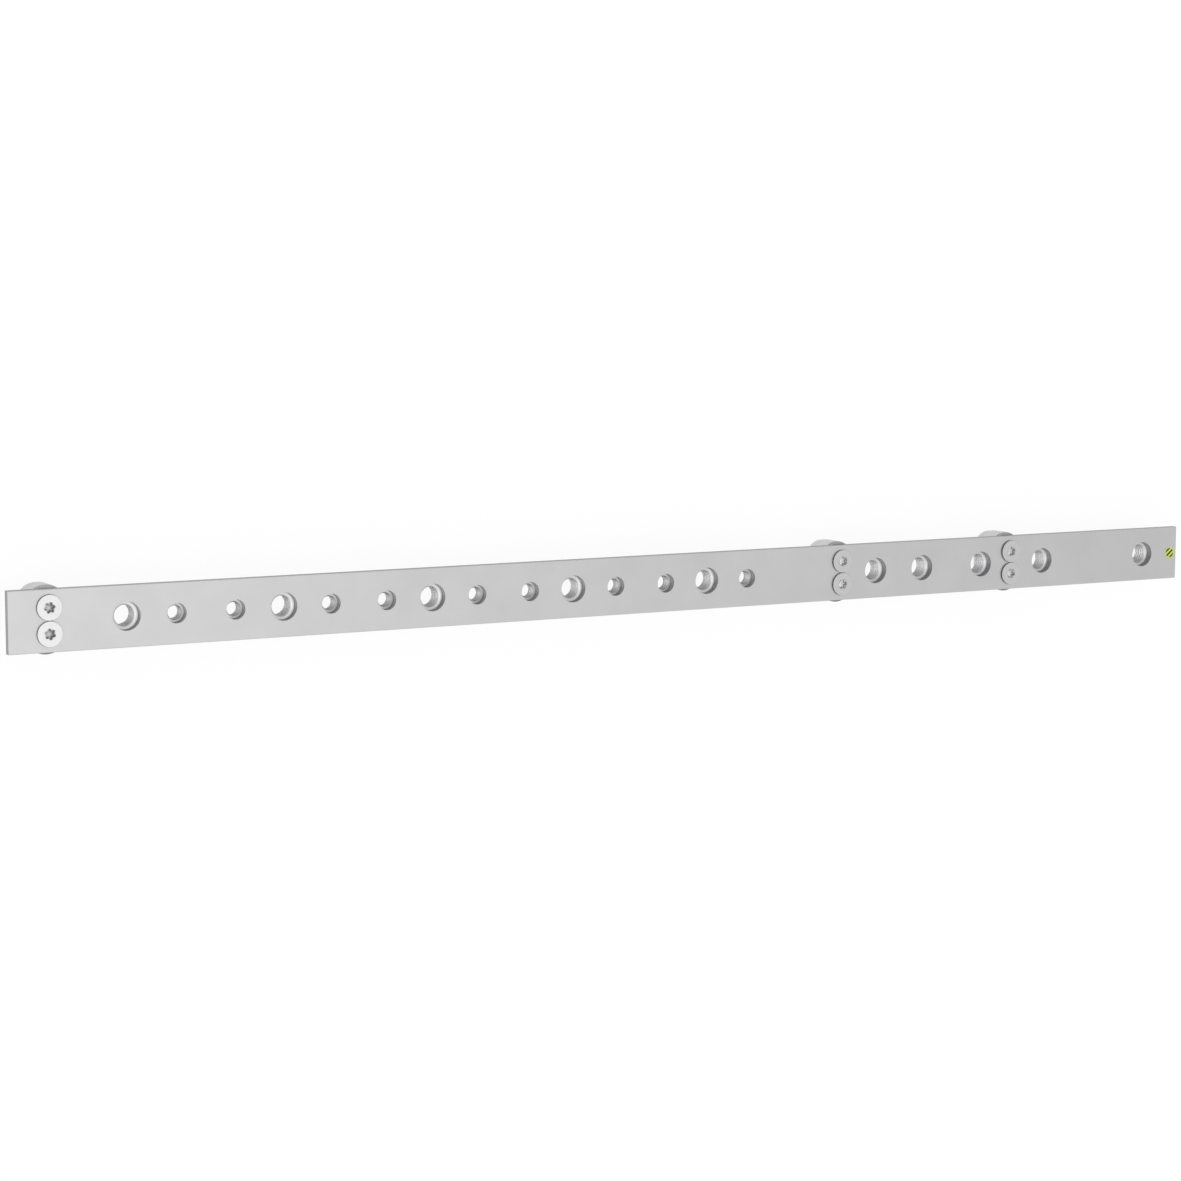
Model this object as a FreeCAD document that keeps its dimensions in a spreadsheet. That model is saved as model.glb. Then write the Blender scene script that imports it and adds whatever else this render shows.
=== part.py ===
import FreeCAD, Part
import os

import Sketcher

# Earthing busbar of plated copper: one flat bar with two sizes of threaded terminal, carried on
# three long-round spacers. It lies on the backs of the spacers, with the terminal side up.
# X runs along the bar, Y across it, Z away from the surface it lies on. The origin is under the
# middle of the bar, on that surface. All sizes are millimetres.

DRIVING = [
    ("bar_length", "696", "length of the flat bar"),
    ("bar_width", "30", "width of the flat bar"),
    ("bar_thickness", "4", "thickness of the flat bar"),
    ("bar_edge_radius", "0.4", "rounding of the bar's four long edges"),
    ("left_margin", "19.8", "left end to the left spacer's axis"),
    ("spacer_to_row", "37.7", "left spacer's axis to the row's first large hole"),
    ("row_count", "5", "large holes in the regular row"),
    ("small_share", "0.3125", "large hole to the small hole beside it, for each unit of the large pitch"),
    ("row_to_spacer", "60.5", "row's last small hole to the middle spacer's axis"),
    ("tail_first_step", "30.8", "first to second large hole after the middle spacer"),
    ("tail_second_step", "40.1", "second to third large hole after the middle spacer"),
    ("end_step", "72.5", "hole beside the right spacer to the last large hole"),
    ("end_margin", "25", "last large hole to the right end"),
    ("gap_before_spacer", "1.05", "clear space from a large nut to the spacer on its right"),
    ("gap_after_spacer", "2.75", "clear space from a large nut to the spacer on its left"),
    ("large_hole_diameter", "14", "clear hole in the bar over a large nut"),
    ("large_bore_diameter", "10.1", "core diameter of the large thread"),
    ("large_nut_diameter", "18", "outside of a large nut"),
    ("large_nut_height", "8.5", "large nut behind the bar"),
    ("small_hole_diameter", "9.9", "clear hole in the bar over a small nut"),
    ("small_bore_diameter", "6.65", "core diameter of the small thread"),
    ("small_nut_diameter", "13", "outside of a small nut"),
    ("small_nut_height", "5", "small nut behind the bar"),
    ("nut_collar_height", "0.5", "nut's collar inside the bar's hole"),
    ("nut_collar_clearance", "0.05", "collar to the wall of the hole, all round"),
    ("nut_chamfer", "0.6", "bevel on the back edge of a nut"),
    ("thread_lead", "0.3", "bevel at the mouth of a nut's thread"),
    ("spacer_height", "17", "spacer from its back to the bar"),
    ("spacer_width", "20.7", "spacer along the bar, and twice its end radius"),
    ("neck_height", "1.6", "narrower neck of the spacer under the bar"),
    ("neck_inset", "0.5", "neck's step in from the spacer's side"),
    ("flange_thickness", "3", "flange at the spacer's back"),
    ("flange_inset", "0.5", "flange's step in from the spacer's side"),
    ("groove_width", "1", "groove between the flange and the spacer's body"),
    ("groove_depth", "0.8", "depth of that groove"),
    ("ring_cut_margin", "2", "how far the ring cuts run past the spacer's side"),
    ("web_thickness", "2", "material between a spacer's front and back holes"),
    ("fixing_bore_diameter", "5", "core diameter of the spacer's back threads"),
    ("screw_diameter", "6", "thread of the countersunk screws"),
    ("screw_clearance", "0.1", "screw to the wall of its hole in the spacer"),
    ("screw_grip", "7", "length of screw inside the spacer"),
    ("screw_tip_room", "1", "space beyond the screw's tip"),
    ("screw_tip_chamfer", "0.6", "bevel on the screw's tip"),
    ("head_diameter", "12.3", "countersunk head"),
    ("head_rim", "0.9", "cylindrical rim of the head"),
    ("head_proud", "1", "top of the head above the bar"),
    ("head_gap", "0.2", "clear space between the two heads of a pair"),
    ("seat_clearance", "0.15", "head's cone to the countersink, measured along the radius"),
    ("bar_screw_hole", "6.6", "clear hole in the bar under the countersink"),
    ("recess_core", "3.9", "inner diameter of the six-lobe recess"),
    ("recess_lobe", "1.5", "diameter of one lobe"),
    ("recess_width", "5.6", "recess across two opposite lobes"),
    ("recess_depth", "2.4", "depth of the recess"),
    ("recess_lobes", "6", "lobes of the recess"),
    ("marker_diameter", "6.3", "round earth marker"),
    ("marker_thickness", "0.3", "thickness of the marker"),
    ("marker_margin", "4.8", "marker's centre to the right end"),
]

# The stations along the bar follow each other from the left end. The regular row takes the length
# that the plain ends and the tail leave to it, so its pitch follows from the length of the bar.
DERIVED = [
    ("before_spacer", "=(spacer_width + large_nut_diameter) / 2 + gap_before_spacer",
     "large hole to the axis of the spacer on its right"),
    ("after_spacer", "=(spacer_width + large_nut_diameter) / 2 + gap_after_spacer",
     "spacer's axis to the large hole on its right"),
    ("tail_steps", "=tail_first_step + tail_second_step + end_step", "plain steps of the tail"),
    ("tail_length", "=2 * after_spacer + before_spacer + tail_steps + end_margin",
     "middle spacer's axis to the right end"),
    ("row_length", "=bar_length - left_margin - spacer_to_row - row_to_spacer - tail_length",
     "row's first large hole to its last small one"),
    ("large_pitch", "=row_length / (row_count - 1 + small_share)", "large hole to large hole"),
    ("hole_step", "=small_share * large_pitch", "large hole to the small hole beside it"),
    ("small_pitch", "=large_pitch - 2 * hole_step", "small hole to small hole between two large ones"),
    ("at_row", "=left_margin + spacer_to_row", "left end to the row's first large hole"),
    ("at_row_end", "=at_row + row_length", "to the row's last small hole"),
    ("at_middle", "=at_row_end + row_to_spacer", "to the middle spacer"),
    ("at_tail_1", "=at_middle + after_spacer", "to the first large hole of the tail"),
    ("at_tail_2", "=at_tail_1 + tail_first_step", "to the second"),
    ("at_tail_3", "=at_tail_2 + tail_second_step", "to the third"),
    ("at_right", "=at_tail_3 + before_spacer", "to the right spacer"),
    ("at_tail_4", "=at_right + after_spacer", "to the fourth large hole of the tail"),
    ("at_tail_5", "=at_tail_4 + end_step", "to the last"),
    ("front_level", "=spacer_height + bar_thickness", "height of the bar's terminal side"),
    ("screw_spacing", "=head_diameter + head_gap", "axis to axis of a pair of screws"),
    ("screw_bore_depth", "=screw_grip + screw_tip_room", "hole in the spacer's front"),
    ("countersink_diameter", "=head_diameter - 2 * (head_proud - head_rim) + 2 * seat_clearance",
     "countersink at the bar's terminal side"),
    ("lobe_offset", "=(recess_width - recess_lobe) / 2", "screw's axis to a lobe's centre"),
]

SPACER_STATIONS = {"left": "Sizes.left_margin", "middle": "Sizes.at_middle", "right": "Sizes.at_right"}
PAIR_SIDES = {"upper": "1", "lower": "-1"}
TAIL_STATIONS = [f"Sizes.at_tail_{number}" for number in range(1, 6)]
COUNTERSINK_ANGLE = "90"
FULL_TURN = "360"
Z_AXIS = FreeCAD.Vector(0, 0, 1)
HALF_TURN = FreeCAD.Units.parseQuantity("180 deg").getValueAs("rad").Value
SOLID_FRACTION = 1e-9
MOSTLY_ALONG = 0.5

doc = FreeCAD.newDocument("busbar")


def write_sheet():
    """Puts every size in one sheet: plain numbers first, then the places that follow from them."""
    sizes = doc.addObject("Spreadsheet::Sheet", "Sizes")
    for row, (alias, text, meaning) in enumerate(DRIVING + DERIVED, start=1):
        sizes.set(f"A{row}", meaning)
        sizes.set(f"B{row}", text)
        sizes.setAlias(f"B{row}", alias)
    doc.recompute()
    return sizes


def along(station):
    """Turns a distance from the left end into a place on the X axis."""
    return f"{station} - Sizes.bar_length / 2"


def row_station(number):
    """Distance from the left end to one large hole of the regular row, counted from 0."""
    return f"Sizes.at_row + {number} * Sizes.large_pitch"


def small_stations(count):
    """Distances from the left end to the small holes, from left to right."""
    stations = []
    for number in range(count):
        stations.append(f"{row_station(number)} + Sizes.hole_step")
        if number < count - 1:
            stations.append(f"{row_station(number)} + Sizes.hole_step + Sizes.small_pitch")
    return stations


def number_of(item, expression):
    """The present value of an expression."""
    value = item.evalExpression(expression)
    return getattr(value, "Value", value)


def new_body(label, x="0", y="0", z="0"):
    """A piece with its own name and place."""
    body = doc.addObject("PartDesign::Body", label)
    body.Label = label
    for axis, expression in (("x", x), ("y", y), ("z", z)):
        body.setExpression(f"Placement.Base.{axis}", expression)
    return body


def new_sketch(body, name, plane_role, level="0"):
    """A sketch on one of the body's own planes, raised to a level."""
    sketch = body.newObject("Sketcher::SketchObject", name)
    plane = next(item for item in body.Origin.OriginFeatures if item.Role == plane_role)
    sketch.AttachmentSupport = [(plane, "")]
    sketch.MapMode = "FlatFace"
    sketch.setExpression("AttachmentOffset.Base.z", level)
    return sketch


def set_size(sketch, kind, expression, *where):
    """One dimension of a sketch, tied to an expression."""
    value = number_of(sketch, expression)
    index = sketch.addConstraint(Sketcher.Constraint(kind, *where, value))
    sketch.setExpression(f"Constraints[{index}]", expression)


def tie_point(sketch, geometry, point, x, y):
    """Fixes one point of a sketch by its two coordinates."""
    set_size(sketch, "DistanceX", x, -1, 1, geometry, point)
    set_size(sketch, "DistanceY", y, -1, 1, geometry, point)


def draw_outline(sketch, corners):
    """A closed outline of straight edges through corners given as expressions."""
    points = [FreeCAD.Vector(number_of(sketch, x), number_of(sketch, y), 0) for x, y in corners]
    pairs = zip(points, points[1:] + points[:1])
    lines = [sketch.addGeometry(Part.LineSegment(start, end)) for start, end in pairs]
    for line, following in zip(lines, lines[1:] + lines[:1]):
        sketch.addConstraint(Sketcher.Constraint("Coincident", line, 2, following, 1))
    for line, (x, y) in zip(lines, corners):
        tie_point(sketch, line, 1, x, y)


def draw_circle(sketch, x, y, diameter):
    """A circle given by its centre and diameter."""
    centre = FreeCAD.Vector(number_of(sketch, x), number_of(sketch, y), 0)
    radius = number_of(sketch, diameter) / 2
    circle = sketch.addGeometry(Part.Circle(centre, Z_AXIS, radius))
    tie_point(sketch, circle, 3, x, y)
    set_size(sketch, "Diameter", diameter, circle)


def draw_long_round(sketch, spacing, radius):
    """Two half circles, one above the other, joined by straight sides."""
    rise = number_of(sketch, spacing) / 2
    reach = number_of(sketch, radius)
    upper = Part.Circle(FreeCAD.Vector(0, rise, 0), Z_AXIS, reach)
    lower = Part.Circle(FreeCAD.Vector(0, -rise, 0), Z_AXIS, reach)
    top = sketch.addGeometry(Part.ArcOfCircle(upper, 0, HALF_TURN))
    corners = [FreeCAD.Vector(-reach, rise, 0), FreeCAD.Vector(-reach, -rise, 0)]
    left = sketch.addGeometry(Part.LineSegment(*corners))
    bottom = sketch.addGeometry(Part.ArcOfCircle(lower, HALF_TURN, 2 * HALF_TURN))
    corners = [FreeCAD.Vector(reach, -rise, 0), FreeCAD.Vector(reach, rise, 0)]
    right = sketch.addGeometry(Part.LineSegment(*corners))
    chain = [top, left, bottom, right]
    for piece, following in zip(chain, chain[1:] + chain[:1]):
        sketch.addConstraint(Sketcher.Constraint("Coincident", piece, 2, following, 1))
    tie_point(sketch, top, 3, "0", f"{spacing} / 2")
    tie_point(sketch, bottom, 3, "0", f"-{spacing} / 2")
    set_size(sketch, "Radius", radius, top)
    set_size(sketch, "Radius", radius, bottom)
    for line, start in ((left, ""), (right, "-")):
        end = "" if start else "-"
        set_size(sketch, "DistanceY", f"{start}{spacing} / 2", -1, 1, line, 1)
        set_size(sketch, "DistanceY", f"{end}{spacing} / 2", -1, 1, line, 2)


def pad(body, sketch, length):
    """Raises a sketch into a solid."""
    feature = body.newObject("PartDesign::Pad", f"{sketch.Name}_pad")
    feature.Profile = sketch
    feature.setExpression("Length", length)
    doc.recompute()
    return feature


def expect_less(body, before):
    """Stops if a cut took nothing away."""
    if body.Shape.Volume > before * (1 - SOLID_FRACTION):
        raise RuntimeError(f"a cut in {body.Label} took nothing away")


def pocket(body, sketch, depth, upward=False):
    """Cuts a sketch into the body, down from the sketch unless it is told to go up."""
    before = body.Shape.Volume
    feature = body.newObject("PartDesign::Pocket", f"{sketch.Name}_pocket")
    feature.Profile = sketch
    feature.Reversed = upward
    feature.setExpression("Length", depth)
    doc.recompute()
    expect_less(body, before)
    return feature


def revolve(body, sketch):
    """Turns a half section about the upright axis."""
    feature = body.newObject("PartDesign::Revolution", f"{sketch.Name}_turned")
    feature.Profile = sketch
    feature.ReferenceAxis = (sketch, ["V_Axis"])
    feature.setExpression("Angle", FULL_TURN)
    doc.recompute()
    return feature


def repeat_in_row(body, feature, sketch, pitch, count):
    """Repeats a cut along the bar."""
    before = body.Shape.Volume
    pattern = body.newObject("PartDesign::LinearPattern", f"{feature.Name}_row")
    pattern.Originals = [feature]
    pattern.Direction = (sketch, ["H_Axis"])
    pattern.setExpression("Length", f"{pitch} * ({count} - 1)")
    pattern.setExpression("Occurrences", count)
    body.Tip = pattern
    doc.recompute()
    expect_less(body, before)


def make_busbar():
    """The flat bar: drawn edges, a row of clear holes over the nuts, countersinks over the spacers."""
    body = new_body("busbar", z="Sizes.spacer_height")
    outline = new_sketch(body, "bar_outline", "XY_Plane")
    half_length = "Sizes.bar_length / 2"
    half_width = "Sizes.bar_width / 2"
    draw_outline(outline, [(f"-{half_length}", f"-{half_width}"), (half_length, f"-{half_width}"),
                           (half_length, half_width), (f"-{half_length}", half_width)])
    flat = pad(body, outline, "Sizes.bar_thickness")
    long_edges = [f"Edge{index}" for index, edge in enumerate(flat.Shape.Edges, start=1)
                  if abs(edge.tangentAt(edge.FirstParameter).x) > MOSTLY_ALONG]
    rounding = body.newObject("PartDesign::Fillet", "bar_edges")
    rounding.Base = (flat, long_edges)
    rounding.setExpression("Radius", "Sizes.bar_edge_radius")
    doc.recompute()

    top = "Sizes.bar_thickness"
    rows = [("large_row", row_station(0), "Sizes.large_hole_diameter", "Sizes.row_count"),
            ("small_row", small_stations(2)[0], "Sizes.small_hole_diameter", "Sizes.row_count"),
            ("second_small_row", small_stations(2)[1], "Sizes.small_hole_diameter", "(Sizes.row_count - 1)")]
    for name, station, diameter, count in rows:
        sketch = new_sketch(body, name, "XY_Plane", top)
        draw_circle(sketch, along(station), "0", diameter)
        hole = pocket(body, sketch, "Sizes.bar_thickness")
        repeat_in_row(body, hole, sketch, "Sizes.large_pitch", count)

    tail = new_sketch(body, "large_tail", "XY_Plane", top)
    for station in TAIL_STATIONS:
        draw_circle(tail, along(station), "0", "Sizes.large_hole_diameter")
    pocket(body, tail, "Sizes.bar_thickness")

    seats = new_sketch(body, "screw_seats", "XY_Plane", top)
    for station in SPACER_STATIONS.values():
        for side in PAIR_SIDES.values():
            draw_circle(seats, along(station), f"{side} * Sizes.screw_spacing / 2", "Sizes.bar_screw_hole")
    doc.recompute()
    before = body.Shape.Volume
    countersinks = body.newObject("PartDesign::Hole", "countersinks")
    countersinks.Profile = seats
    countersinks.ThreadType = "None"
    countersinks.setExpression("Diameter", "Sizes.bar_screw_hole")
    countersinks.HoleCutType = "Countersink"
    countersinks.HoleCutCustomValues = True
    countersinks.setExpression("HoleCutDiameter", "Sizes.countersink_diameter")
    countersinks.setExpression("HoleCutCountersinkAngle", COUNTERSINK_ANGLE)
    countersinks.DepthType = "ThroughAll"
    countersinks.DrillPoint = "Flat"
    doc.recompute()
    expect_less(body, before)
    return body


def make_nut(label, station, size):
    """A round threaded nut on the bar's back: a collar in the hole, and a bevel that leads a bolt in."""
    body = new_body(label, x=along(station), z="Sizes.spacer_height")
    section = new_sketch(body, f"{label}_section", "XZ_Plane")
    bore = f"Sizes.{size}_bore_diameter / 2"
    collar = f"Sizes.{size}_hole_diameter / 2 - Sizes.nut_collar_clearance"
    outside = f"Sizes.{size}_nut_diameter / 2"
    back = f"-Sizes.{size}_nut_height"
    front = "Sizes.nut_collar_height"
    draw_outline(section, [(bore, f"{front} - Sizes.thread_lead"), (f"{bore} + Sizes.thread_lead", front),
                           (collar, front), (collar, "0"), (outside, "0"),
                           (outside, f"{back} + Sizes.nut_chamfer"),
                           (f"{outside} - Sizes.nut_chamfer", back), (bore, back)])
    revolve(body, section)
    return body


def make_spacer(side, station):
    """A long-round spacer: neck under the bar, body, groove and flange, with holes from both ends."""
    label = f"spacer_{side}"
    body = new_body(label, x=along(station))
    radius = "Sizes.spacer_width / 2"
    spacing = "Sizes.screw_spacing"
    outline = new_sketch(body, f"{label}_outline", "XY_Plane")
    draw_long_round(outline, spacing, radius)
    pad(body, outline, "Sizes.spacer_height")

    rings = [("neck", "Sizes.spacer_height", "Sizes.neck_inset", "Sizes.neck_height"),
             ("groove", "Sizes.flange_thickness + Sizes.groove_width", "Sizes.groove_depth",
              "Sizes.groove_width"),
             ("flange", "Sizes.flange_thickness", "Sizes.flange_inset", "Sizes.flange_thickness")]
    for name, level, inset, depth in rings:
        ring = new_sketch(body, f"{label}_{name}", "XY_Plane", level)
        draw_long_round(ring, spacing, f"{radius} - {inset}")
        draw_long_round(ring, spacing, f"{radius} + Sizes.ring_cut_margin")
        pocket(body, ring, depth)

    front_bore = "Sizes.screw_diameter + 2 * Sizes.screw_clearance"
    back_depth = "Sizes.spacer_height - Sizes.screw_bore_depth - Sizes.web_thickness"
    ends = [("front", "Sizes.spacer_height", front_bore, "Sizes.screw_bore_depth", False),
            ("back", "0", "Sizes.fixing_bore_diameter", back_depth, True)]
    for name, level, diameter, depth, upward in ends:
        holes = new_sketch(body, f"{label}_{name}_holes", "XY_Plane", level)
        for sign in PAIR_SIDES.values():
            draw_circle(holes, "0", f"{sign} * {spacing} / 2", diameter)
        pocket(body, holes, depth, upward)
    return body


def make_screw(side, place, station, sign):
    """A countersunk screw with a six-lobe recess, its rim a little proud of the bar."""
    label = f"screw_{side}_{place}"
    body = new_body(label, x=along(station), y=f"{sign} * Sizes.screw_spacing / 2", z="Sizes.front_level")
    section = new_sketch(body, f"{label}_section", "XZ_Plane")
    head = "Sizes.head_diameter / 2"
    shank = "Sizes.screw_diameter / 2"
    rim_foot = "Sizes.head_proud - Sizes.head_rim"
    tip = "-Sizes.bar_thickness - Sizes.screw_grip"
    draw_outline(section, [("0", "Sizes.head_proud"), (head, "Sizes.head_proud"), (head, rim_foot),
                           (shank, f"{rim_foot} - ({head} - {shank})"),
                           (shank, f"{tip} + Sizes.screw_tip_chamfer"),
                           (f"{shank} - Sizes.screw_tip_chamfer", tip), ("0", tip)])
    revolve(body, section)

    core = new_sketch(body, f"{label}_recess", "XY_Plane", "Sizes.head_proud")
    draw_circle(core, "0", "0", "Sizes.recess_core")
    pocket(body, core, "Sizes.recess_depth")
    lobe = new_sketch(body, f"{label}_lobe", "XY_Plane", "Sizes.head_proud")
    draw_circle(lobe, "Sizes.lobe_offset", "0", "Sizes.recess_lobe")
    cut = pocket(body, lobe, "Sizes.recess_depth")
    before = body.Shape.Volume
    lobes = body.newObject("PartDesign::PolarPattern", f"{label}_lobes")
    lobes.Originals = [cut]
    lobes.Axis = (lobe, ["N_Axis"])
    lobes.setExpression("Angle", FULL_TURN)
    lobes.setExpression("Occurrences", "Sizes.recess_lobes")
    body.Tip = lobes
    doc.recompute()
    expect_less(body, before)
    return body


def make_marker():
    """The thin round earth marker on the terminal side, close to the right end."""
    disc = doc.addObject("Part::Cylinder", "earth_marker")
    disc.Label = "earth_marker"
    disc.setExpression("Radius", "Sizes.marker_diameter / 2")
    disc.setExpression("Height", "Sizes.marker_thickness")
    disc.setExpression("Placement.Base.x", along("Sizes.bar_length - Sizes.marker_margin"))
    disc.setExpression("Placement.Base.z", "Sizes.front_level")
    return disc


def make_pieces(sizes):
    """Every separate piece of the busbar."""
    row_count = int(sizes.row_count)
    pieces = [make_busbar()]
    large_stations = [row_station(number) for number in range(row_count)] + TAIL_STATIONS
    for size, stations in (("large", large_stations), ("small", small_stations(row_count))):
        for number, station in enumerate(stations, start=1):
            pieces.append(make_nut(f"{size}_nut_{number}", station, size))
    for side, station in SPACER_STATIONS.items():
        pieces.append(make_spacer(side, station))
        for place, sign in PAIR_SIDES.items():
            pieces.append(make_screw(side, place, station, sign))
    pieces.append(make_marker())
    doc.recompute()
    return pieces


def check_document(pieces):
    """Stops if any object failed or any piece is not one sound solid."""
    failed = [item.Label for item in doc.Objects if {"Invalid", "Error"} & set(item.State)]
    if failed:
        raise RuntimeError(f"failed objects: {failed}")
    for piece in pieces:
        if piece.Shape.isNull() or not piece.Shape.isValid() or len(piece.Shape.Solids) != 1:
            raise RuntimeError(f"{piece.Label} is not one sound solid")


def write_pieces(pieces):
    """One file for each piece, named after it."""
    os.makedirs("parts", exist_ok=True)
    for piece in pieces:
        piece.Shape.exportStep(f"parts/{piece.Label}.step")
        print(piece.Label, [round(size, 2) for size in (piece.Shape.BoundBox.XLength,
                                                        piece.Shape.BoundBox.YLength,
                                                        piece.Shape.BoundBox.ZLength)])


all_pieces = make_pieces(write_sheet())
check_document(all_pieces)
write_pieces(all_pieces)
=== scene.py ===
# %% [markdown]
# # A tin-plated copper busbar
# A busbar is a thick metal bar that joins many cables in one place. This one is flat copper under a
# silver-grey coat of tin. It stands on three metal spacers, and a threaded nut behind each hole takes
# a cable bolt. The CAD model already fixes the main sizes and every place, so this lesson loads it as
# a frame, keeps the shapes that are right, remakes the small turned pieces with finer edges, and
# gives each metal its own finish.

import math

import bmesh
import bpy
from mathutils import Matrix, Vector


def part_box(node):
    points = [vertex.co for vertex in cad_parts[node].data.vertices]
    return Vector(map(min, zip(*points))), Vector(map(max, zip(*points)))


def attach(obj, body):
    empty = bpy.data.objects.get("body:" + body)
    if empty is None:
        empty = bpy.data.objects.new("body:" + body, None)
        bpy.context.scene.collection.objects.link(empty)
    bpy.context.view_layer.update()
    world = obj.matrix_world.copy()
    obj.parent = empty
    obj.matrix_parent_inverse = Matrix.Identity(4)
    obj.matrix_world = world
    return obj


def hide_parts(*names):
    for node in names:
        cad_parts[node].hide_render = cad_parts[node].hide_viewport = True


MM = 0.001

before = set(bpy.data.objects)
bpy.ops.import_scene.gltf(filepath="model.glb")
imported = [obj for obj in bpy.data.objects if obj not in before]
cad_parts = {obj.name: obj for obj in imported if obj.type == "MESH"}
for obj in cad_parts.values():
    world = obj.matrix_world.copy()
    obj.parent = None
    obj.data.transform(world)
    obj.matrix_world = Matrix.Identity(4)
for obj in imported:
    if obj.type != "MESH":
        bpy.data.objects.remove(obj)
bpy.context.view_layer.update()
print("CAD nodes:", len(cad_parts))

# %% [markdown]
# ## The camera
# A camera comes first, because every later choice is judged through it. It could be moved by hand
# until the picture looks right. Here its place was worked out instead: the bar's two long edges and
# the centres of its nineteen holes are known in millimetres and in pixels, and a best fit gives the
# camera that comes nearest to them all. It stands to the left of the bar and looks down along it.
# The Standard view transform shows colours as they are written.

# %% Place the camera
IMAGE_SIDE = 1181
FOCAL_PIXELS = 2758.92
SENSOR_WIDTH = 36.0
LEAN = math.radians(0.247)
PICTURE_UP = Vector((0.0, 1.0, 0.0))

eye = Vector((-717.42, 170.86, 1263.17)) * MM
aim = Vector((-40.53, -1.36, 21.0)) * MM
look = (aim - eye).normalized()
level = look.cross(PICTURE_UP).normalized()
right = Matrix.Rotation(-LEAN, 3, look) @ level
up = right.cross(look)

lens = bpy.data.cameras.new("photo_camera")
lens.sensor_width = SENSOR_WIDTH
lens.lens = FOCAL_PIXELS / IMAGE_SIDE * SENSOR_WIDTH
camera = bpy.data.objects.new("photo_camera", lens)
camera.matrix_world = Matrix.Translation(eye) @ Matrix((right, up, -look)).transposed().to_4x4()
bpy.context.scene.collection.objects.link(camera)
bpy.context.scene.camera = camera
bpy.context.scene.view_settings.view_transform = "Standard"
print("lens in mm:", round(lens.lens, 1), "distance in mm:", round((aim - eye).length / MM))

# %% [markdown]
# ## Small helpers for nodes
# Every material below is a little graph of nodes. Adding a node takes three steps each time: make
# it, set its options, and set the values of its sockets. A helper does the three at once, so that a
# material reads as a list of what it is made of.

# %% Add and join nodes
def add_node(tree, kind, values=None, **options):
    """A new node with its options and then its socket values set."""
    node = tree.nodes.new(kind)
    for name, option in options.items():
        setattr(node, name, option)
    for name, value in (values or {}).items():
        node.inputs[name].default_value = value
    return node


def join(tree, *links):
    """Links each pair of an output socket and an input socket."""
    for output, socket in links:
        tree.links.new(output, socket)


print("helpers:", add_node.__name__, join.__name__)

# %% [markdown]
# ## The light
# Metal shows little colour of its own: what we see on it is the room. In the photograph the bar is
# bright at its near end and falls evenly towards its far end, so the room has to be bright overhead
# and dimmer low down on the right. A lamp would leave a hard spot on the metal. A sky that fades
# with the angle from one bright direction gives the same soft fall all along the bar. A new ramp has
# its two end steps already, so only the steps between them are added.

# %% Paint the soft sky
BRIGHT_WAY = Vector((-0.25, -0.20, 0.95)).normalized()
SKY_STEPS = {
    0.00: (0.62, 0.62, 0.63),
    0.62: (0.60, 0.60, 0.61),
    0.72: (0.56, 0.56, 0.57),
    0.80: (0.83, 0.83, 0.83),
    0.88: (1.10, 1.10, 1.10),
    1.00: (1.17, 1.17, 1.17),
}

room = bpy.data.worlds.new("soft_room")
room.use_nodes = True
sky = room.node_tree
sky.nodes.clear()
way = add_node(sky, "ShaderNodeTexCoord")
nearness = add_node(sky, "ShaderNodeVectorMath", {1: BRIGHT_WAY}, operation="DOT_PRODUCT")
fade = add_node(sky, "ShaderNodeValToRGB")
for place in list(SKY_STEPS)[1:-1]:
    fade.color_ramp.elements.new(place)
for element, tone in zip(fade.color_ramp.elements, SKY_STEPS.values()):
    element.color = (*tone, 1.0)
glow = add_node(sky, "ShaderNodeBackground", {"Strength": 1.0})
result = add_node(sky, "ShaderNodeOutputWorld")
join(sky, (way.outputs["Generated"], nearness.inputs[0]),
     (nearness.outputs["Value"], fade.inputs["Fac"]), (fade.outputs["Color"], glow.inputs["Color"]),
     (glow.outputs["Background"], result.inputs["Surface"]))
bpy.context.scene.world = room
print("sky steps:", [round(element.position, 2) for element in fade.color_ramp.elements])

# %% [markdown]
# ## The floor
# The photograph stands on pure white. More light would make the floor white and burn out the metal
# with it. Instead the floor glows by itself for the camera, and only a small part of its brightness
# is light that falls on it. That small part is what the bar's shadow takes away. Metal sees the
# same floor a little dimmer, as it would in a room with pale grey walls.

# %% Lay the floor
FLOOR_SIDE = 60.0
FLOOR_DROP = 0.2 * MM

floor_shape = bmesh.new()
bmesh.ops.create_grid(floor_shape, x_segments=1, y_segments=1, size=FLOOR_SIDE / 2,
                      matrix=Matrix.Translation((0.0, 0.0, -FLOOR_DROP)))
floor_mesh = bpy.data.meshes.new("floor")
floor_shape.to_mesh(floor_mesh)
floor_shape.free()
floor = bpy.data.objects.new("floor", floor_mesh)
bpy.context.scene.collection.objects.link(floor)
print("floor side in m:", FLOOR_SIDE)

# %% Paint the floor
FLOOR_COLOUR = (0.16, 0.16, 0.16, 1.0)
GLOW_COLOUR = (1.0, 1.0, 1.0, 1.0)
GLOW = 0.88
GLOW_IN_METAL = 0.85

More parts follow.
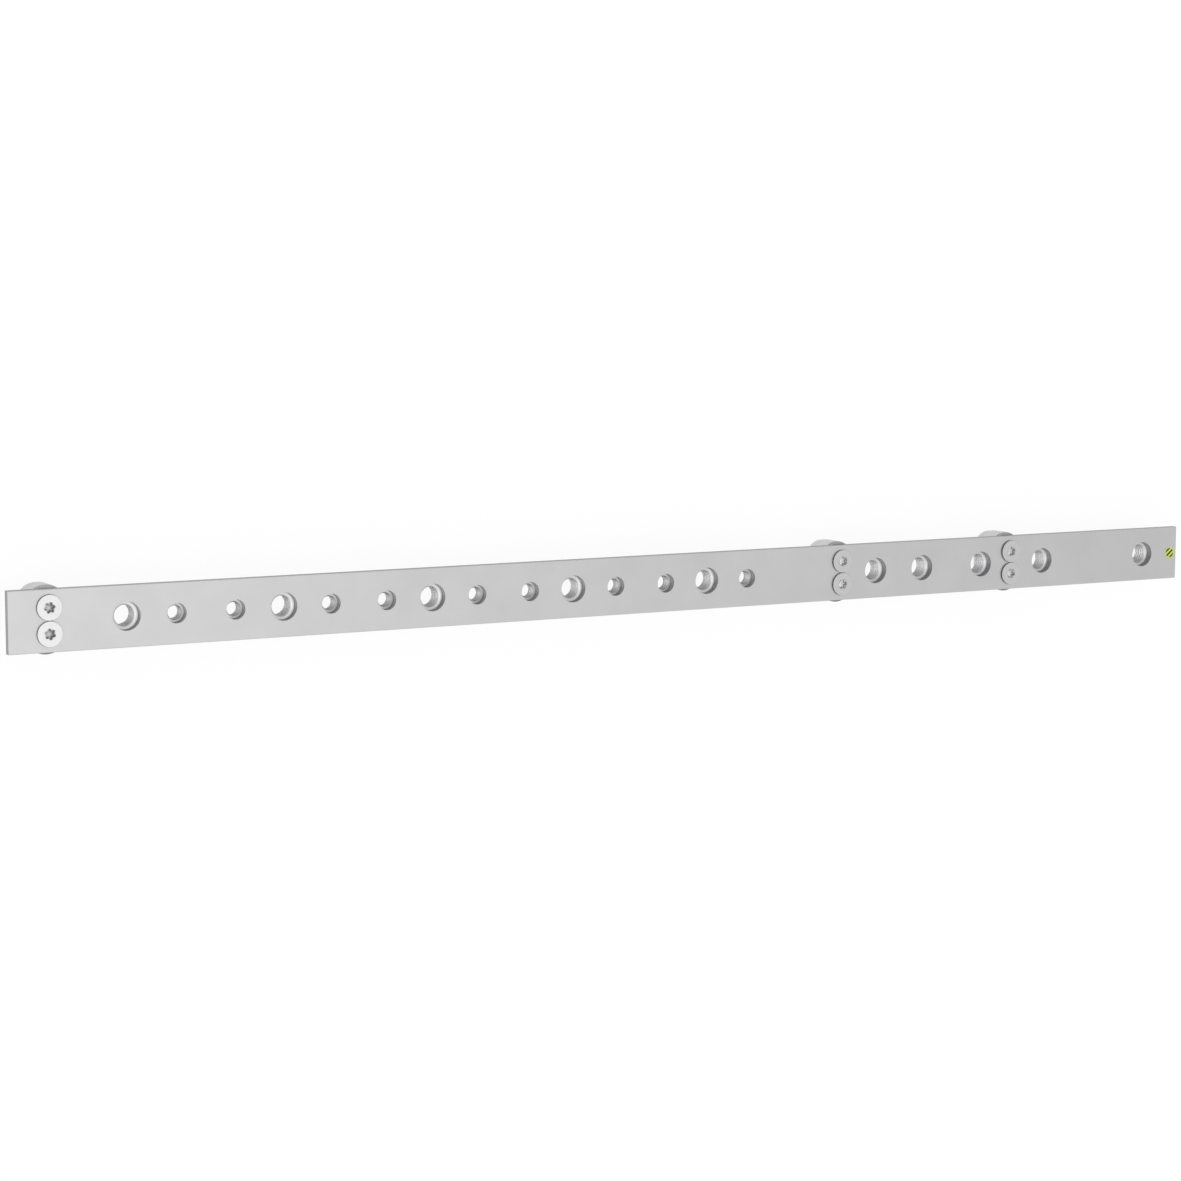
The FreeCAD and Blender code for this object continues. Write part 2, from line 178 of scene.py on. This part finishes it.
floor_paint = bpy.data.materials.new("floor_paint")
floor_paint.use_nodes = True
paint = floor_paint.node_tree
paint.nodes.clear()
lit = add_node(paint, "ShaderNodeBsdfDiffuse", {"Color": FLOOR_COLOUR})
rays = add_node(paint, "ShaderNodeLightPath")
mirrored = add_node(paint, "ShaderNodeMath", operation="ADD")
weaker = add_node(paint, "ShaderNodeMath", {1: GLOW_IN_METAL}, operation="MULTIPLY")
seen = add_node(paint, "ShaderNodeMath", operation="ADD")
strength = add_node(paint, "ShaderNodeMath", {1: GLOW}, operation="MULTIPLY")
white = add_node(paint, "ShaderNodeEmission", {"Color": GLOW_COLOUR})
both = add_node(paint, "ShaderNodeAddShader")
painted = add_node(paint, "ShaderNodeOutputMaterial")
join(paint, (rays.outputs["Is Glossy Ray"], mirrored.inputs[0]),
     (rays.outputs["Is Transmission Ray"], mirrored.inputs[1]),
     (mirrored.outputs[0], weaker.inputs[0]), (rays.outputs["Is Camera Ray"], seen.inputs[0]),
     (weaker.outputs[0], seen.inputs[1]), (seen.outputs[0], strength.inputs[0]),
     (strength.outputs[0], white.inputs["Strength"]), (lit.outputs[0], both.inputs[0]),
     (white.outputs[0], both.inputs[1]), (both.outputs[0], painted.inputs["Surface"]))
floor_mesh.materials.append(floor_paint)
print("floor glow:", GLOW)

# %% [markdown]
# ## Effects that the metals share
# Close up, no metal face is one flat tone. A drawn bar has fine lines along the way it was pulled,
# and a plated skin has soft clouds where the bath left it a little thicker. Both come from noise:
# squeezed across the bar for the lines, even in all directions for the clouds. The clouds' noise
# rarely leaves the middle of its range, so that middle band is spread over the whole of it. Each
# effect is a node group with its own inputs, so that every metal can use it at its own scale.

# %% Start a node group
def new_group(name, inputs, outputs):
    """An empty node group with named sockets, and its two end nodes."""
    group = bpy.data.node_groups.new(name, "ShaderNodeTree")
    for socket, kind in inputs:
        group.interface.new_socket(socket, in_out="INPUT", socket_type=kind)
    for socket, kind in outputs:
        group.interface.new_socket(socket, in_out="OUTPUT", socket_type=kind)
    return group, group.nodes.new("NodeGroupInput"), group.nodes.new("NodeGroupOutput")


print("helper:", new_group.__name__)

# %% Group: drawn lines
LINE_NOISE = {"Scale": 1.0, "Detail": 3.0, "Roughness": 0.6}

drawn_lines, start, end = new_group(
    "drawn_lines", [("Place", "NodeSocketVector"), ("Stretch", "NodeSocketVector")],
    [("Lines", "NodeSocketFloat")])
squeeze = add_node(drawn_lines, "ShaderNodeVectorMath", operation="MULTIPLY")
streaks = add_node(drawn_lines, "ShaderNodeTexNoise", LINE_NOISE)
join(drawn_lines, (start.outputs["Place"], squeeze.inputs[0]),
     (start.outputs["Stretch"], squeeze.inputs[1]),
     (squeeze.outputs[0], streaks.inputs["Vector"]), (streaks.outputs["Fac"], end.inputs["Lines"]))
print("group:", drawn_lines.name)

# %% Group: plating clouds
CLOUD_NOISE = {"Detail": 4.0, "Roughness": 0.55}
CLOUD_BAND = {"From Min": 0.3, "From Max": 0.7}

plating_clouds, start, end = new_group(
    "plating_clouds", [("Place", "NodeSocketVector"), ("Scale", "NodeSocketFloat")],
    [("Clouds", "NodeSocketFloat")])
soft = add_node(plating_clouds, "ShaderNodeTexNoise", CLOUD_NOISE)
spread = add_node(plating_clouds, "ShaderNodeMapRange", CLOUD_BAND)
join(plating_clouds, (start.outputs["Place"], soft.inputs["Vector"]),
     (start.outputs["Scale"], soft.inputs["Scale"]), (soft.outputs["Fac"], spread.inputs["Value"]),
     (spread.outputs["Result"], end.inputs["Clouds"]))
print("group:", plating_clouds.name)

# %% [markdown]
# ## Telling walls from flats
# Sawn ends and drilled holes are duller than a rolled face. Their darker tone is also painted shade,
# for the light that the walls, the ends and the long edges miss. The upright part of the normal is
# small on a wall and close to one on a flat, so it makes the mask. The long edges get the most
# painted shade, so a wall that faces along the bar gets only a share. The wall of a hole also has
# more painted shade at its lower right, and less at its upper right. The product of the normal's
# two level parts tells these quarters apart, and it treats each quarter like the one opposite.

# %% Group: dull and shaded walls
WALL_BELOW = 0.30
FLAT_ABOVE = 0.85
SAWN_SHARE = 0.82
# Painted shade: a hole's wall is darker at its lower right than at its upper right.
QUARTER_SHADE_SHARE = 0.5

walls_dull_and_shaded, start, end = new_group(
    "walls_dull_and_shaded", [("Normal", "NodeSocketVector")], [("Walls", "NodeSocketFloat")])
parts = add_node(walls_dull_and_shaded, "ShaderNodeSeparateXYZ")
upright = add_node(walls_dull_and_shaded, "ShaderNodeMath", operation="ABSOLUTE")
turn = add_node(walls_dull_and_shaded, "ShaderNodeMapRange",
                {"From Min": WALL_BELOW, "From Max": FLAT_ABOVE, "To Min": 1.0, "To Max": 0.0},
                interpolation_type="SMOOTHSTEP")
sideways = add_node(walls_dull_and_shaded, "ShaderNodeMath", operation="ABSOLUTE")
dull_and_shade_share = add_node(walls_dull_and_shaded, "ShaderNodeMapRange", {"To Min": SAWN_SHARE})
slanted = add_node(walls_dull_and_shaded, "ShaderNodeMath", operation="MULTIPLY")
quarter_shade = add_node(walls_dull_and_shaded, "ShaderNodeMath", {1: -QUARTER_SHADE_SHARE}, operation="MULTIPLY_ADD")
walls = add_node(walls_dull_and_shaded, "ShaderNodeMath", operation="MULTIPLY", use_clamp=True)
join(walls_dull_and_shaded, (start.outputs["Normal"], parts.inputs[0]), (parts.outputs["Z"], upright.inputs[0]),
     (upright.outputs[0], turn.inputs["Value"]), (turn.outputs["Result"], walls.inputs[0]),
     (parts.outputs["Y"], sideways.inputs[0]), (sideways.outputs[0], dull_and_shade_share.inputs["Value"]),
     (parts.outputs["X"], slanted.inputs[0]), (parts.outputs["Y"], slanted.inputs[1]),
     (slanted.outputs[0], quarter_shade.inputs[0]), (dull_and_shade_share.outputs["Result"], quarter_shade.inputs[2]),
     (quarter_shade.outputs[0], walls.inputs[1]), (walls.outputs[0], end.inputs["Walls"]))
print("group:", walls_dull_and_shaded.name)

# %% [markdown]
# ## A metal finish
# All four metals here follow one recipe. The clouds move the tone between two close greys, the
# lines move the roughness, and the same lines make a very low relief. A shade mask then pulls the
# tone towards a darker grey. Each metal brings its own mask as a small function: the bar marks its
# duller walls and paints shade on them, the spacers paint shade at their joint with the bar, and the
# turned pieces read a value that their meshes carry, a duller tone on the nuts' outside and face and
# painted shade in threads, rims and recesses. Otherwise only the numbers differ: a tinned bar is
# softer and more satin than a zinc-plated screw. Metallic is 1 everywhere, so it is set on the shader
# itself.

# %% Recipe for a plated metal
LINE_DEPTH = 0.1 * MM


def plated_metal(name, tones, dark, roughness, stretch, cloud_scale, relief, shade):
    """A metal with cloudy tone, lined roughness, a fine relief and a darker tone where shade says."""
    material = bpy.data.materials.new(name)
    material.use_nodes = True
    tree = material.node_tree
    tree.nodes.clear()
    place = add_node(tree, "ShaderNodeTexCoord")
    lines = add_node(tree, "ShaderNodeGroup", {"Stretch": stretch}, node_tree=drawn_lines)
    clouds = add_node(tree, "ShaderNodeGroup", {"Scale": cloud_scale}, node_tree=plating_clouds)
    tone = add_node(tree, "ShaderNodeMix", {"A": (*tones[0], 1.0), "B": (*tones[1], 1.0)},
                    data_type="RGBA")
    shaded = add_node(tree, "ShaderNodeMix", {"B": (*dark, 1.0)}, data_type="RGBA")
    satin = add_node(tree, "ShaderNodeMapRange", {"To Min": roughness[0], "To Max": roughness[1]})
    bump = add_node(tree, "ShaderNodeBump", {"Strength": relief, "Distance": LINE_DEPTH})
    metal = add_node(tree, "ShaderNodeBsdfPrincipled", {"Metallic": 1.0})
    output = add_node(tree, "ShaderNodeOutputMaterial")
    spot = place.outputs["Object"]
    lined = lines.outputs["Lines"]
    join(tree, (spot, clouds.inputs["Place"]), (clouds.outputs["Clouds"], tone.inputs["Factor"]),
         (tone.outputs["Result"], shaded.inputs["A"]), (shade(tree, place), shaded.inputs["Factor"]),
         (shaded.outputs["Result"], metal.inputs["Base Color"]))
    join(tree, (spot, lines.inputs["Place"]), (lined, satin.inputs["Value"]),
         (satin.outputs["Result"], metal.inputs["Roughness"]), (lined, bump.inputs["Height"]),
         (bump.outputs["Normal"], metal.inputs["Normal"]),
         (metal.outputs["BSDF"], output.inputs["Surface"]))
    return material


def dress(node, material):
    """Gives a CAD node its finish."""
    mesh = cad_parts[node].data
    mesh.materials.clear()
    mesh.materials.append(material)


print("helpers:", plated_metal.__name__, dress.__name__)

# %% [markdown]
# ## The bar
# The bar was drawn flat, sawn to length and drilled. Its CAD shape has the rounded long edges and
# all the holes, so it stays as it is and only gets its finish: satin tin, with lines that are long
# along the bar and fine across it.

# %% Finish the bar
def shade_walls(tree, place):
    """Darkens the edges, sawn ends and hole walls: partly a duller cut, partly painted shade."""
    walls = add_node(tree, "ShaderNodeGroup", node_tree=walls_dull_and_shaded)
    join(tree, (place.outputs["Normal"], walls.inputs["Normal"]))
    return walls.outputs["Walls"]


# The dark grey is partly a duller cut and partly painted shade on the walls, ends and long edges.
tinned_copper = plated_metal(
    "tinned_copper", tones=((0.76, 0.76, 0.76), (0.80, 0.80, 0.80)), dark=(0.32, 0.32, 0.33),
    roughness=(0.38, 0.44), stretch=(30.0, 2500.0, 2500.0), cloud_scale=45.0, relief=0.06,
    shade=shade_walls)
dress("busbar", tinned_copper)
print("bar finish:", tinned_copper.name)

# %% [markdown]
# ## The spacers
# Three long-round metal blocks hold the bar off the wall. Their CAD shape is right, with the neck
# under the bar and the groove near the back, so it stays. Their finish is a plain satin zinc. Shade
# is painted on the neck close under the bar, and more at the end that is lower in the picture.

# %% Finish the spacers
SIDES = ("left", "middle", "right")
# Painted shade: darker on the neck close under the bar, most at the lower end.
JOINT_STARTS = 14.6 * MM
JOINT_FULL = 15.6 * MM
END_REACH = 15.0 * MM
UPPER_END_SHADE_SHARE = 0.2


def shade_joint(tree, place):
    """Paints shade on the last stretch below the bar, least at the end that is upper in the picture."""
    spot = add_node(tree, "ShaderNodeSeparateXYZ")
    joint = add_node(tree, "ShaderNodeMapRange", {"From Min": JOINT_STARTS, "From Max": JOINT_FULL})
    end_shade_weight = add_node(tree, "ShaderNodeMapRange", {"From Min": -END_REACH, "From Max": END_REACH,
                                                  "To Min": 1.0, "To Max": UPPER_END_SHADE_SHARE})
    painted_joint_shade = add_node(tree, "ShaderNodeMath", operation="MULTIPLY")
    join(tree, (place.outputs["Object"], spot.inputs[0]), (spot.outputs["Z"], joint.inputs["Value"]),
         (spot.outputs["Y"], end_shade_weight.inputs["Value"]), (joint.outputs["Result"], painted_joint_shade.inputs[0]),
         (end_shade_weight.outputs["Result"], painted_joint_shade.inputs[1]))
    return painted_joint_shade.outputs[0]


# The dark grey is painted shade under the bar.
spacer_zinc = plated_metal(
    "spacer_zinc", tones=((0.69, 0.69, 0.69), (0.75, 0.75, 0.75)), dark=(0.34, 0.34, 0.34),
    roughness=(0.36, 0.46), stretch=(900.0, 900.0, 200.0), cloud_scale=120.0, relief=0.06,
    shade=shade_joint)
for side in SIDES:
    dress(f"spacer_{side}", spacer_zinc)
print("spacers dressed:", len(SIDES))

# %% [markdown]
# ## Turned pieces
# Nuts and screws are turned on a lathe, and spinning an outline is the same thing in Blender. The
# outline is a few points, each a radius, a height and how dark it is there, as a duller tone or as
# painted shade. One full spin makes the solid. Then the doubled points at the seam are merged, the
# faces are made to point outwards, and the faces are shaded smooth except across real edges.

# %% Helpers for turned pieces
SMOOTH_BELOW = math.radians(32.0)
MERGE_REACH = 0.001 * MM


def draw_outline(shape, outline):
    """A chain of edges through (radius, height, darkening) points. It returns the edges."""
    grime_and_shade = shape.verts.layers.float.new("grime_and_shade")
    points = []
    for radius, height, darkening in outline:
        point = shape.verts.new((radius, 0.0, height))
        point[grime_and_shade] = darkening
        points.append(point)
    return [shape.edges.new(pair) for pair in zip(points, points[1:])]


def spin_outline(shape, steps):
    """Spins the chain once round the vertical axis and closes the seam."""
    bmesh.ops.spin(shape, geom=shape.verts[:] + shape.edges[:], cent=(0.0, 0.0, 0.0),
                   axis=(0.0, 0.0, 1.0), angle=math.tau, steps=steps, use_merge=True)
    bmesh.ops.remove_doubles(shape, verts=shape.verts, dist=MERGE_REACH)


def hand_over(shape, name, place, material, node):
    """Moves a shape to its place and makes it the visible form of a CAD node."""
    bmesh.ops.translate(shape, verts=shape.verts, vec=place)
    bmesh.ops.recalc_face_normals(shape, faces=shape.faces)
    mesh = bpy.data.meshes.new(name)
    shape.to_mesh(mesh)
    shape.free()
    mesh.shade_smooth()
    mesh.set_sharp_from_angle(angle=SMOOTH_BELOW)
    mesh.materials.append(material)
    piece = bpy.data.objects.new(name, mesh)
    bpy.context.scene.collection.objects.link(piece)
    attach(piece, "root")
    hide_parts(node)


def grime_and_shade_mask(tree, place):
    """Darkens a turned piece by its mesh's value, a duller tone or painted shade; place isn't needed."""
    return add_node(tree, "ShaderNodeAttribute", attribute_name="grime_and_shade").outputs["Fac"]


def measure(node):
    """The middle of a CAD node on the floor plan, half its width, and its lowest and highest level."""
    low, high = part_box(node)
    return (low.x + high.x) / 2, (low.y + high.y) / 2, (high.x - low.x) / 2, low.z, high.z


print("smooth below, degrees:", round(math.degrees(SMOOTH_BELOW)))

# %% [markdown]
# ## The nuts
# Each hole shows a bright ring a few millimetres down: the face of the nut that sits behind the
# bar. A low collar on the nut drops into the hole and centres it. Inside is the thread that takes
# the cable bolt, with a small bevel at its mouth. A screw modifier could sweep a tooth up a helix,
# but its ends are hard to close. Here the plain bore is cut into many thin rings first, and every
# point then moves outwards by a wave that climbs one pitch in each turn. The wave fades out at both
# ends, so the rims stay round. The thread's lower half is painted darker as shade, most in the roots,
# and a narrow band of painted shade lies above and below just inside the mouth.

# %% Cut a thread into a bore
THREAD_SHARE = 0.5
THREAD_FADE = 0.8 * MM
# The thread's values are painted shade: the lower half, the roots and a band inside the mouth.
MOUTH_REACH = 0.5 * MM
CREST_SHADE = 0.5


def cut_thread(shape, bore, pitch, low, high):
    """Moves the points of a plain bore outwards along a helix, and paints shade on them."""
    grime_and_shade = shape.verts.layers.float["grime_and_shade"]
    for vert in shape.verts:
        radius = math.hypot(vert.co.x, vert.co.y)
        if abs(radius - bore) > MERGE_REACH:
            continue
        angle = math.atan2(vert.co.y, vert.co.x)
        wave = 0.5 - 0.5 * math.cos(math.tau * vert.co.z / pitch - angle)
        room_left = min(vert.co.z - low, high - vert.co.z) / THREAD_FADE
        depth = wave * min(max(room_left, 0.0), 1.0)
        reach = (bore + THREAD_SHARE * pitch * depth) / radius
        vert.co.x *= reach
        vert.co.y *= reach
        # Painted shade: darker in the lower half and the roots, and in a band just inside the mouth.
        lower_shade = max(0.0, -math.sin(angle)) * (CREST_SHADE + (1.0 - CREST_SHADE) * depth)
        near_mouth = max(0.0, 1.0 - (high - vert.co.z) / MOUTH_REACH)
        vert[grime_and_shade] = max(lower_shade, near_mouth * abs(math.sin(angle)))


print("thread fades over mm:", round(THREAD_FADE / MM, 2))

# %% [markdown]
# The nut's outline runs from the bore's rim over the collar and the back, and up the bore again.
# The edges of a real nut are never knife sharp, so most corners of the outline get a small cut. Its
# outside is bare turned metal, duller than the front that was faced flat, so it has more grime.

# %% Turn one nut
NUT_STEPS = 72
RINGS_IN_PITCH = 12
COLLAR_HEIGHT = 0.5 * MM
BACK_CUT = 0.6 * MM
EDGE_CUT = 0.08 * MM
OUTSIDE_GRIME = 0.7
FACE_GRIME = 0.15


def turn_nut(sizes, outside, height):
    """A threaded nut on the vertical axis, with its back at level zero."""
    bore = sizes["bore"]
    mouth = bore + sizes["lead"]
    collar = sizes["collar"]
    shoulder = height - COLLAR_HEIGHT
    thread_top = height - sizes["lead_depth"]
    nut = bmesh.new()
    chain = draw_outline(nut, [
        (mouth, height, FACE_GRIME), (collar - EDGE_CUT, height, FACE_GRIME),
        (collar, height - EDGE_CUT, 0.0), (collar, shoulder, 0.0),
        (outside - EDGE_CUT, shoulder, OUTSIDE_GRIME),
        (outside, shoulder - EDGE_CUT, OUTSIDE_GRIME), (outside, BACK_CUT, OUTSIDE_GRIME),
        (outside - BACK_CUT, 0.0, OUTSIDE_GRIME), (bore + EDGE_CUT, 0.0, OUTSIDE_GRIME),
        (bore, EDGE_CUT, 0.0), (bore, thread_top, 0.0), (mouth, height, FACE_GRIME)])
    rings = round(RINGS_IN_PITCH * height / sizes["pitch"])
    bmesh.ops.subdivide_edges(nut, edges=[chain[-2]], cuts=rings)
    spin_outline(nut, NUT_STEPS)
    cut_thread(nut, bore, sizes["pitch"], EDGE_CUT, thread_top)
    return nut


print("nut collar in mm:", COLLAR_HEIGHT / MM)

# %% [markdown]
# The nuts come in two sizes. Each one takes its place, its width and its height from the CAD node
# that it replaces, so only the bore, the collar, the thread's pitch and the bevel that leads into it
# are listed. The bore and the collar are given as radii. The nuts' zinc is paler and rougher than
# that of the screws.

# %% Make the nuts
NUT_SIZES = {
    "large": {"count": 10, "bore": 5.05 * MM, "collar": 6.95 * MM, "pitch": 1.75 * MM,
              "lead": 0.65 * MM, "lead_depth": 0.28 * MM},
    "small": {"count": 9, "bore": 3.325 * MM, "collar": 4.90 * MM, "pitch": 1.25 * MM,
              "lead": 0.45 * MM, "lead_depth": 0.45 * MM},
}

# The darker grey is the duller outside and face, and painted shade in the thread.
nut_steel = plated_metal(
    "nut_steel", tones=((0.95, 0.95, 0.95), (0.99, 0.99, 0.99)), dark=(0.45, 0.45, 0.45),
    roughness=(0.38, 0.46), stretch=(600.0, 600.0, 600.0), cloud_scale=200.0, relief=0.04,
    shade=grime_and_shade_mask)
for size, sizes in NUT_SIZES.items():
    for number in range(1, sizes["count"] + 1):
        node = f"{size}_nut_{number}"
        x, y, outside, back, top = measure(node)
        nut = turn_nut(sizes, outside, top - back)
        hand_over(nut, f"{size}_terminal_nut_{number}", (x, y, back), nut_steel, node)
    print(size, "nuts made:", sizes["count"])

# %% [markdown]
# ## The screws
# Two countersunk screws hold the bar on each spacer. Their heads stand a little proud, so a thin
# rim shows, painted dark as shade, and they have a six-lobe recess. The turned body leaves a round
# opening in the head. A circle whose radius rises and falls six times round is the lobed outline, a
# bridge joins it to the opening, and an extrude sinks it into the head. A second extrude and a poke
# leave a low cone in the middle, as a punch does. Shade is painted round the rim and deep in the
# lobes.

# %% Sink a six-lobe recess
SCREW_STEPS = 96
LOBES = 6
RECESS_OPENING = 3.0 * MM
RECESS_MIDDLE = 2.42 * MM
RECESS_WAVE = 0.38 * MM
RECESS_DEPTH = 1.6 * MM
RECESS_TAPER = 0.92
CONE_SHARE = 0.90
CONE_RISE = 0.9 * MM
# Painted shade at the lobes' edge and deep in the lobes.
LOBE_EDGE_SHADE = 0.3
DEEP_SHADE = 0.7
TIP_SHARE = 0.5


def ring_edges(verts):
    """The edges whose two ends are both among these points."""
    inside = set(verts)
    return [edge for edge in {edge for vert in verts for edge in vert.link_edges}
            if inside.issuperset(edge.verts)]


def extrude_ring(shape, verts, shrink, rise):
    """Extrudes a ring of points, then scales the new ring and moves it up or down."""
    made = bmesh.ops.extrude_edge_only(shape, edges=ring_edges(verts))["geom"]
    ring = [item for item in made if isinstance(item, bmesh.types.BMVert)]
    bmesh.ops.scale(shape, verts=ring, vec=(shrink, shrink, 1.0))
    bmesh.ops.translate(shape, verts=ring, vec=(0.0, 0.0, rise))
    return ring


def sink_recess(shape, top, turned, darkening):
    """Cuts the six-lobe recess into an open round head. The last value is the painted shade on its
    floor.
    """
    grime_and_shade = shape.verts.layers.float["grime_and_shade"]
    opening = [edge for edge in shape.edges if edge.is_boundary]
    lobed = bmesh.ops.create_circle(shape, segments=SCREW_STEPS, radius=RECESS_MIDDLE)["verts"]
    for vert in lobed:
        angle = math.atan2(vert.co.y, vert.co.x)
        reach = RECESS_MIDDLE + RECESS_WAVE * math.cos(LOBES * (angle - turned))
        vert.co = (reach * math.cos(angle), reach * math.sin(angle), top)
        vert[grime_and_shade] = LOBE_EDGE_SHADE
    bmesh.ops.bridge_loops(shape, edges=opening + ring_edges(lobed))
    deep = extrude_ring(shape, lobed, RECESS_TAPER, -RECESS_DEPTH)
    foot = extrude_ring(shape, deep, CONE_SHARE, 0.0)
    for vert in deep:
        vert[grime_and_shade] = DEEP_SHADE
    for vert in foot:
        vert[grime_and_shade] = darkening
    base = bmesh.ops.contextual_create(shape, geom=ring_edges(foot))["faces"]
    tip = bmesh.ops.poke(shape, faces=base)["verts"]
    bmesh.ops.translate(shape, verts=tip, vec=(0.0, 0.0, CONE_RISE))
    for vert in tip:
        vert[grime_and_shade] = TIP_SHARE * darkening


print("recess across in mm:", round(2 * (RECESS_MIDDLE + RECESS_WAVE) / MM, 2))

# %% [markdown]
# The body below the head is turned as the nuts are: a short rim, a cone down to the shank, and a
# small cut at the tip. The cone falls as much as it narrows, which makes it a right-angled
# countersink. The six screws differ in two ways only. Each stopped at its own turn when it was
# tightened, and the two at the left have painted shade on the floor of their recess.

# %% Turn one screw
RIM_HEIGHT = 0.9 * MM
RIM_CUT = 0.12 * MM
# Painted shade on the rim round the head.
RIM_TOP_SHADE = 0.8
RIM_FOOT_SHADE = 1.0
SHANK = 3.0 * MM
TIP_CUT = 0.6 * MM


def turn_screw(head, height):
    """A countersunk screw on the vertical axis, with its tip at level zero and its head still open."""
    neck = height - RIM_HEIGHT - (head - SHANK)
    screw = bmesh.new()
    draw_outline(screw, [
        (RECESS_OPENING, height, 0.0), (head - RIM_CUT, height, 0.0),
        (head, height - RIM_CUT, RIM_TOP_SHADE), (head, height - RIM_HEIGHT, RIM_FOOT_SHADE),
        (SHANK, neck, 0.0), (SHANK, TIP_CUT, 0.0), (SHANK - TIP_CUT, 0.0, 0.0), (0.0, 0.0, 0.0)])
    spin_outline(screw, SCREW_STEPS)
    return screw


print("shank across in mm:", round(2 * SHANK / MM, 2))

# %% Make the screws
# Each recess has its turn in degrees and the painted shade on its floor.
RECESSES = {
    "screw_left_upper": (12.0, 0.7), "screw_left_lower": (40.0, 0.7),
    "screw_middle_upper": (25.0, 0.0), "screw_middle_lower": (5.0, 0.0),
    "screw_right_upper": (18.0, 0.0), "screw_right_lower": (48.0, 0.0),
}

# The near-black is painted shade on the rim and in the recess.
screw_zinc = plated_metal(
    "screw_zinc", tones=((0.87, 0.87, 0.87), (0.91, 0.91, 0.91)), dark=(0.07, 0.07, 0.07),
    roughness=(0.19, 0.25), stretch=(700.0, 700.0, 700.0), cloud_scale=260.0, relief=0.04,
    shade=grime_and_shade_mask)
for node, (degrees, darkening) in RECESSES.items():
    x, y, head, tip, top = measure(node)
    screw = turn_screw(head, top - tip)
    sink_recess(screw, top - tip, math.radians(degrees), darkening)
    name = node.replace("screw", "countersunk_screw")
    hand_over(screw, name, (x, y, tip), screw_zinc, node)
print("screws made:", len(RECESSES))

# %% [markdown]
# ## The earth marker
# A small round film near the far end has slanting stripes of green and yellow, the usual sign for
# earth. It is a thin disc with a softened rim. The stripes could be modelled as strips, but a film is
# printed, so they are a material. A ping-pong wave across turned Object coordinates rises and falls
# once in each pitch, and a step cuts it in two, so the stripes stay crisp at any distance. They stop
# short of the rim, where the distance from the middle leaves a plain yellow border.

# %% Print the striped film
STRIPE_PITCH = 2.2 * MM
STRIPE_SLANT = math.radians(-50.0)
MARKER_BORDER = 0.45 * MM
GREEN = (0.045, 0.08, 0.006, 1.0)
YELLOW = (0.82, 0.86, 0.17, 1.0)
FILM_GRAIN = 1500.0
FILM_ROUGHNESS = {"To Min": 0.45, "To Max": 0.6}
FILM_SPECULAR = 0.2

x, y, radius, back, top = measure("earth_marker")
marker_film = bpy.data.materials.new("marker_film")
marker_film.use_nodes = True
film = marker_film.node_tree
film.nodes.clear()
place = add_node(film, "ShaderNodeTexCoord")
turned = add_node(film, "ShaderNodeMapping",
                  {"Location": (x, y, top), "Rotation": (0.0, 0.0, STRIPE_SLANT)}, vector_type="TEXTURE")
reach = add_node(film, "ShaderNodeVectorMath", operation="LENGTH")
inside = add_node(film, "ShaderNodeMath", {1: radius - MARKER_BORDER}, operation="LESS_THAN")
across = add_node(film, "ShaderNodeSeparateXYZ")
wave = add_node(film, "ShaderNodeMath", {1: STRIPE_PITCH / 2}, operation="PINGPONG")
step = add_node(film, "ShaderNodeMath", {1: STRIPE_PITCH / 4}, operation="LESS_THAN")
printed = add_node(film, "ShaderNodeMath", operation="MULTIPLY")
stripes = add_node(film, "ShaderNodeMix", {"A": YELLOW, "B": GREEN}, data_type="RGBA")
grain = add_node(film, "ShaderNodeGroup", {"Scale": FILM_GRAIN}, node_tree=plating_clouds)
matt = add_node(film, "ShaderNodeMapRange", FILM_ROUGHNESS)
skin = add_node(film, "ShaderNodeBsdfPrincipled", {"Specular IOR Level": FILM_SPECULAR})
shown = add_node(film, "ShaderNodeOutputMaterial")
join(film, (place.outputs["Object"], turned.inputs["Vector"]), (turned.outputs[0], across.inputs[0]),
     (across.outputs["X"], wave.inputs[0]), (wave.outputs[0], step.inputs[0]),
     (turned.outputs[0], reach.inputs[0]), (reach.outputs["Value"], inside.inputs[0]),
     (step.outputs[0], printed.inputs[0]), (inside.outputs[0], printed.inputs[1]),
     (printed.outputs[0], stripes.inputs["Factor"]),
     (stripes.outputs["Result"], skin.inputs["Base Color"]),
     (place.outputs["Object"], grain.inputs["Place"]), (grain.outputs["Clouds"], matt.inputs["Value"]),
     (matt.outputs["Result"], skin.inputs["Roughness"]), (skin.outputs["BSDF"], shown.inputs["Surface"]))
print("stripe pitch in mm:", round(STRIPE_PITCH / MM, 2))

# %% Make the earth marker
MARKER_STEPS = 96
MARKER_RIM = 0.12 * MM

marker = bmesh.new()
thickness = top - back
draw_outline(marker, [(0.0, thickness, 0.0), (radius - MARKER_RIM, thickness, 0.0),
                      (radius, thickness - MARKER_RIM, 0.0), (radius, 0.0, 0.0), (0.0, 0.0, 0.0)])
spin_outline(marker, MARKER_STEPS)
hand_over(marker, "striped_earth_marker", (x, y, back), marker_film, "earth_marker")
print("marker across in mm:", round(2 * radius / MM, 2))
